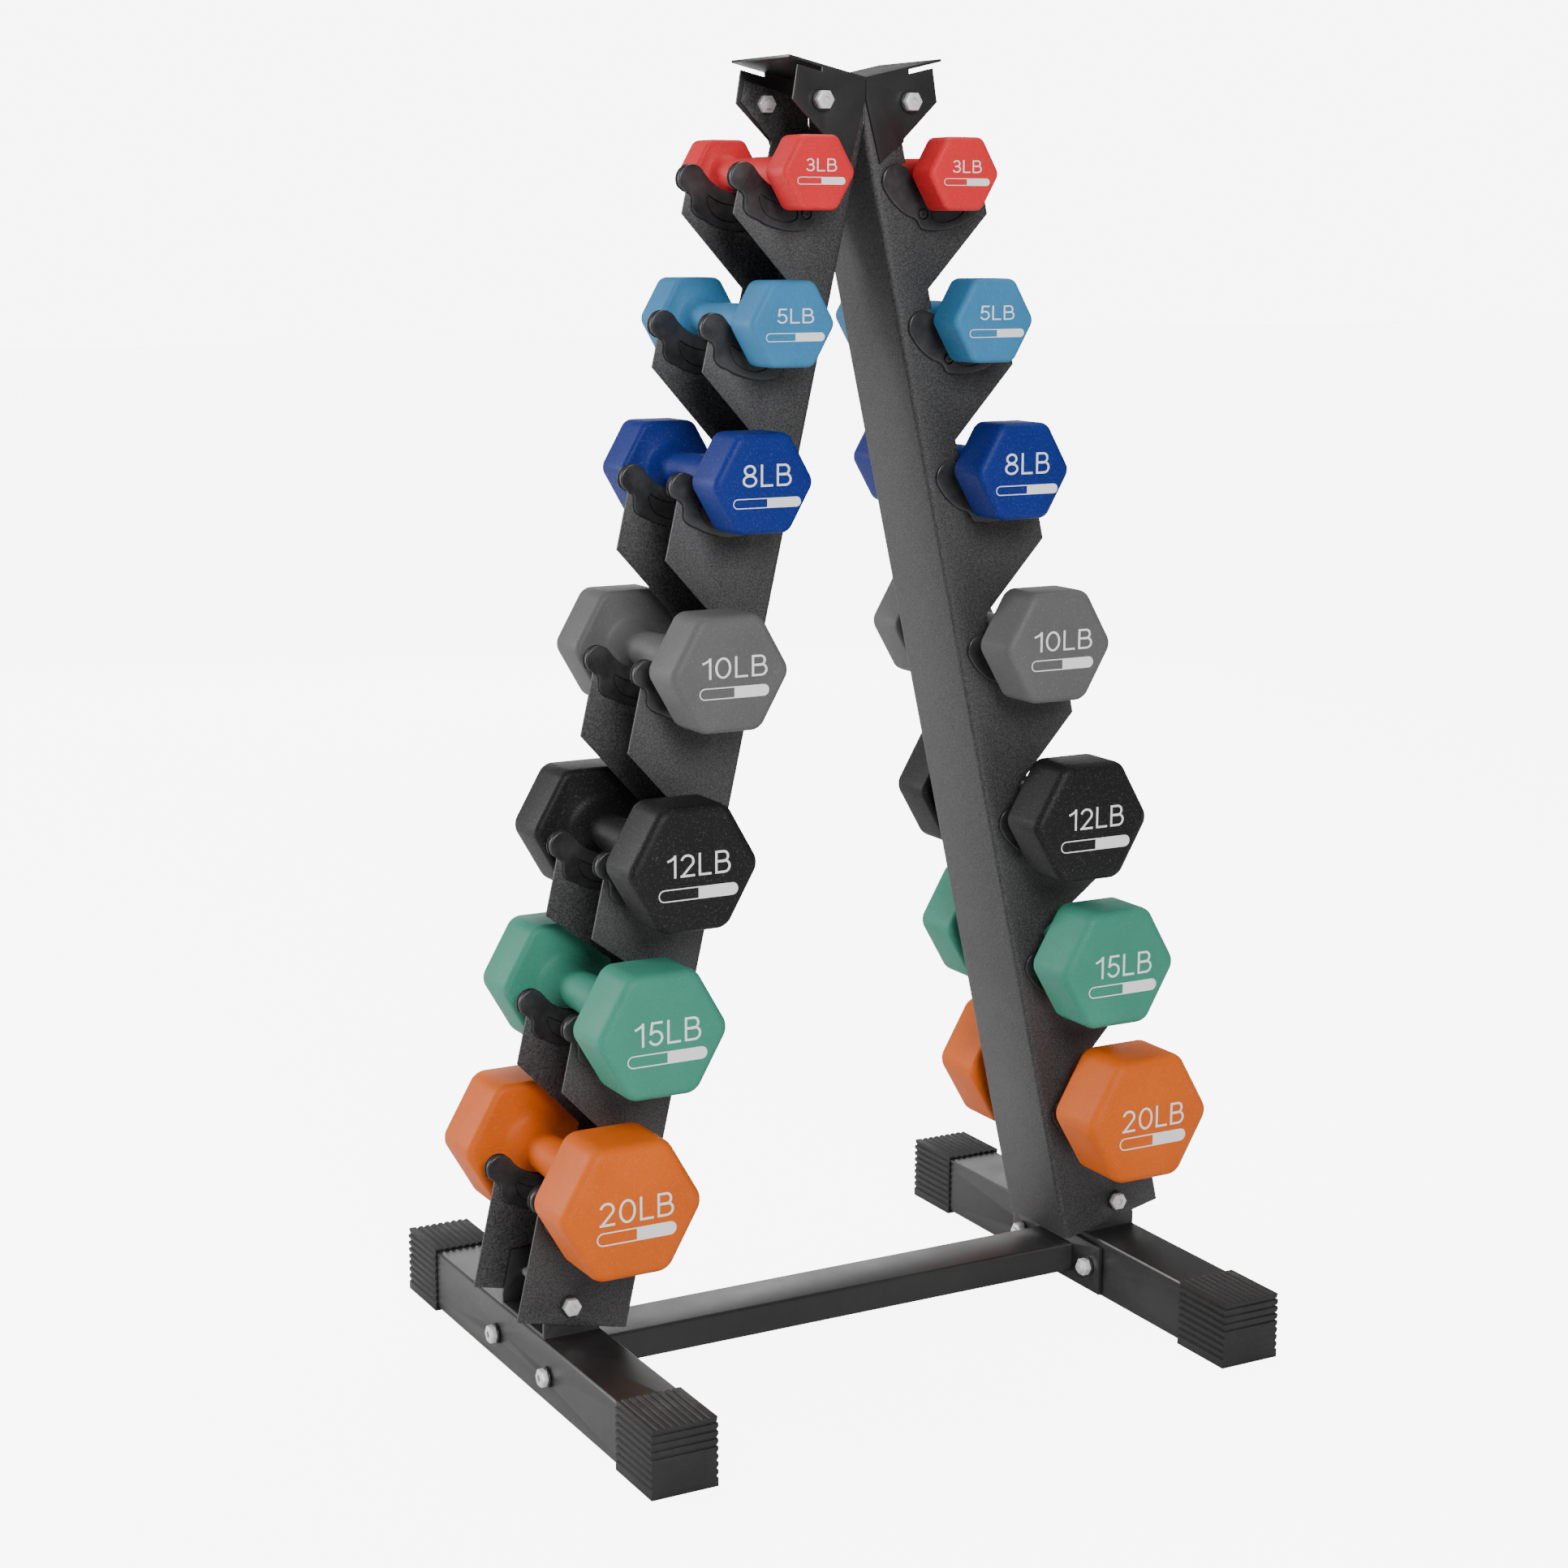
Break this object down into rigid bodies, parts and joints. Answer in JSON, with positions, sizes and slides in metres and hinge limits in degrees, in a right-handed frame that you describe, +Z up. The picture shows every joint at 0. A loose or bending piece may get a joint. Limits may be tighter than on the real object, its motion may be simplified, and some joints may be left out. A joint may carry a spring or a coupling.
{
  "type": "dumbbell rack",
  "caption": "Folded-steel A-frame rack with stepped cradles on both sides that hold vinyl-dipped hex dumbbells, on square-tube feet joined by a cross tube.",
  "frame": {"origin": "on the floor, midway between the four foot caps", "axes": "+Z up; X across the A, from one upright to the other; Y along the feet and the dumbbells, front at -Y"},
  "size_m": [0.5996, 0.472, 1.0194],
  "materials": {
    "powder_coat": "fine-grained satin black powder coat",
    "cradle_plastic": "moulded satin black plastic",
    "cap_rubber": "ribbed black rubber",
    "zinc": "bright zinc plating",
    "vinyl_red": "matt vinyl-dipped cast iron with a fine orange-peel grain",
    "vinyl_sky_blue": "matt vinyl-dipped cast iron with a fine orange-peel grain",
    "vinyl_royal_blue": "matt vinyl-dipped cast iron with a fine orange-peel grain",
    "vinyl_grey": "matt vinyl-dipped cast iron with a fine orange-peel grain",
    "vinyl_black": "matt vinyl-dipped cast iron with a fine orange-peel grain",
    "vinyl_mint_green": "matt vinyl-dipped cast iron with a fine orange-peel grain",
    "vinyl_orange": "matt vinyl-dipped cast iron with a fine orange-peel grain"
  },
  "bodies": {
    "rack": {"upright_left": "powder_coat", "upright_right": "powder_coat", "foot_left": "powder_coat", "foot_right": "powder_coat", "crown_bracket": "powder_coat", "cross_tube": "powder_coat", "foot_cap_left_front": "cap_rubber", "foot_cap_left_rear": "cap_rubber", "foot_cap_right_front": "cap_rubber", "foot_cap_right_rear": "cap_rubber", "cradle_left_1_front": "cradle_plastic", "cradle_left_1_rear": "cradle_plastic", "cradle_left_2_front": "cradle_plastic", "cradle_left_2_rear": "cradle_plastic", "cradle_left_3_front": "cradle_plastic", "cradle_left_3_rear": "cradle_plastic", "cradle_left_4_front": "cradle_plastic", "cradle_left_4_rear": "cradle_plastic", "cradle_left_5_front": "cradle_plastic", "cradle_left_5_rear": "cradle_plastic", "cradle_left_6_front": "cradle_plastic", "cradle_left_6_rear": "cradle_plastic", "cradle_left_7_front": "cradle_plastic", "cradle_left_7_rear": "cradle_plastic", "cradle_right_1_front": "cradle_plastic", "cradle_right_1_rear": "cradle_plastic", "cradle_right_2_front": "cradle_plastic", "cradle_right_2_rear": "cradle_plastic", "cradle_right_3_front": "cradle_plastic", "cradle_right_3_rear": "cradle_plastic", "cradle_right_4_front": "cradle_plastic", "cradle_right_4_rear": "cradle_plastic", "cradle_right_5_front": "cradle_plastic", "cradle_right_5_rear": "cradle_plastic", "cradle_right_6_front": "cradle_plastic", "cradle_right_6_rear": "cradle_plastic", "cradle_right_7_front": "cradle_plastic", "cradle_right_7_rear": "cradle_plastic", "crown_bolt_left": "zinc", "upright_bolt_left": "zinc", "cross_bolt_left_front": "zinc", "cross_bolt_left_rear": "zinc", "crown_bolt_right": "zinc", "upright_bolt_right": "zinc", "cross_bolt_right_front": "zinc", "cross_bolt_right_rear": "zinc"},
    "dumbbell_03lb_left": {"dumbbell_03lb_left": "vinyl_red"},
    "dumbbell_03lb_right": {"dumbbell_03lb_right": "vinyl_red"},
    "dumbbell_05lb_left": {"dumbbell_05lb_left": "vinyl_sky_blue"},
    "dumbbell_05lb_right": {"dumbbell_05lb_right": "vinyl_sky_blue"},
    "dumbbell_08lb_left": {"dumbbell_08lb_left": "vinyl_royal_blue"},
    "dumbbell_08lb_right": {"dumbbell_08lb_right": "vinyl_royal_blue"},
    "dumbbell_10lb_left": {"dumbbell_10lb_left": "vinyl_grey"},
    "dumbbell_10lb_right": {"dumbbell_10lb_right": "vinyl_grey"},
    "dumbbell_12lb_left": {"dumbbell_12lb_left": "vinyl_black"},
    "dumbbell_12lb_right": {"dumbbell_12lb_right": "vinyl_black"},
    "dumbbell_15lb_left": {"dumbbell_15lb_left": "vinyl_mint_green"},
    "dumbbell_15lb_right": {"dumbbell_15lb_right": "vinyl_mint_green"},
    "dumbbell_20lb_left": {"dumbbell_20lb_left": "vinyl_orange"},
    "dumbbell_20lb_right": {"dumbbell_20lb_right": "vinyl_orange"}
  },
  "joints": [
    {"name": "lift_off_03lb_left", "type": "slide", "parent": "rack", "child": "dumbbell_03lb_left", "axis": [-0.7071, 0, 0.7071], "range_m": [0, 0.2]},
    {"name": "lift_off_03lb_right", "type": "slide", "parent": "rack", "child": "dumbbell_03lb_right", "axis": [0.7071, 0, 0.7071], "range_m": [0, 0.2]},
    {"name": "lift_off_05lb_left", "type": "slide", "parent": "rack", "child": "dumbbell_05lb_left", "axis": [-0.7071, 0, 0.7071], "range_m": [0, 0.2]},
    {"name": "lift_off_05lb_right", "type": "slide", "parent": "rack", "child": "dumbbell_05lb_right", "axis": [0.7071, 0, 0.7071], "range_m": [0, 0.2]},
    {"name": "lift_off_08lb_left", "type": "slide", "parent": "rack", "child": "dumbbell_08lb_left", "axis": [-0.7071, 0, 0.7071], "range_m": [0, 0.2]},
    {"name": "lift_off_08lb_right", "type": "slide", "parent": "rack", "child": "dumbbell_08lb_right", "axis": [0.7071, 0, 0.7071], "range_m": [0, 0.2]},
    {"name": "lift_off_10lb_left", "type": "slide", "parent": "rack", "child": "dumbbell_10lb_left", "axis": [-0.7071, 0, 0.7071], "range_m": [0, 0.2]},
    {"name": "lift_off_10lb_right", "type": "slide", "parent": "rack", "child": "dumbbell_10lb_right", "axis": [0.7071, 0, 0.7071], "range_m": [0, 0.2]},
    {"name": "lift_off_12lb_left", "type": "slide", "parent": "rack", "child": "dumbbell_12lb_left", "axis": [-0.7071, 0, 0.7071], "range_m": [0, 0.2]},
    {"name": "lift_off_12lb_right", "type": "slide", "parent": "rack", "child": "dumbbell_12lb_right", "axis": [0.7071, 0, 0.7071], "range_m": [0, 0.2]},
    {"name": "lift_off_15lb_left", "type": "slide", "parent": "rack", "child": "dumbbell_15lb_left", "axis": [-0.7071, 0, 0.7071], "range_m": [0, 0.2]},
    {"name": "lift_off_15lb_right", "type": "slide", "parent": "rack", "child": "dumbbell_15lb_right", "axis": [0.7071, 0, 0.7071], "range_m": [0, 0.2]},
    {"name": "lift_off_20lb_left", "type": "slide", "parent": "rack", "child": "dumbbell_20lb_left", "axis": [-0.7071, 0, 0.7071], "range_m": [0, 0.2]},
    {"name": "lift_off_20lb_right", "type": "slide", "parent": "rack", "child": "dumbbell_20lb_right", "axis": [0.7071, 0, 0.7071], "range_m": [0, 0.2]}
  ]
}
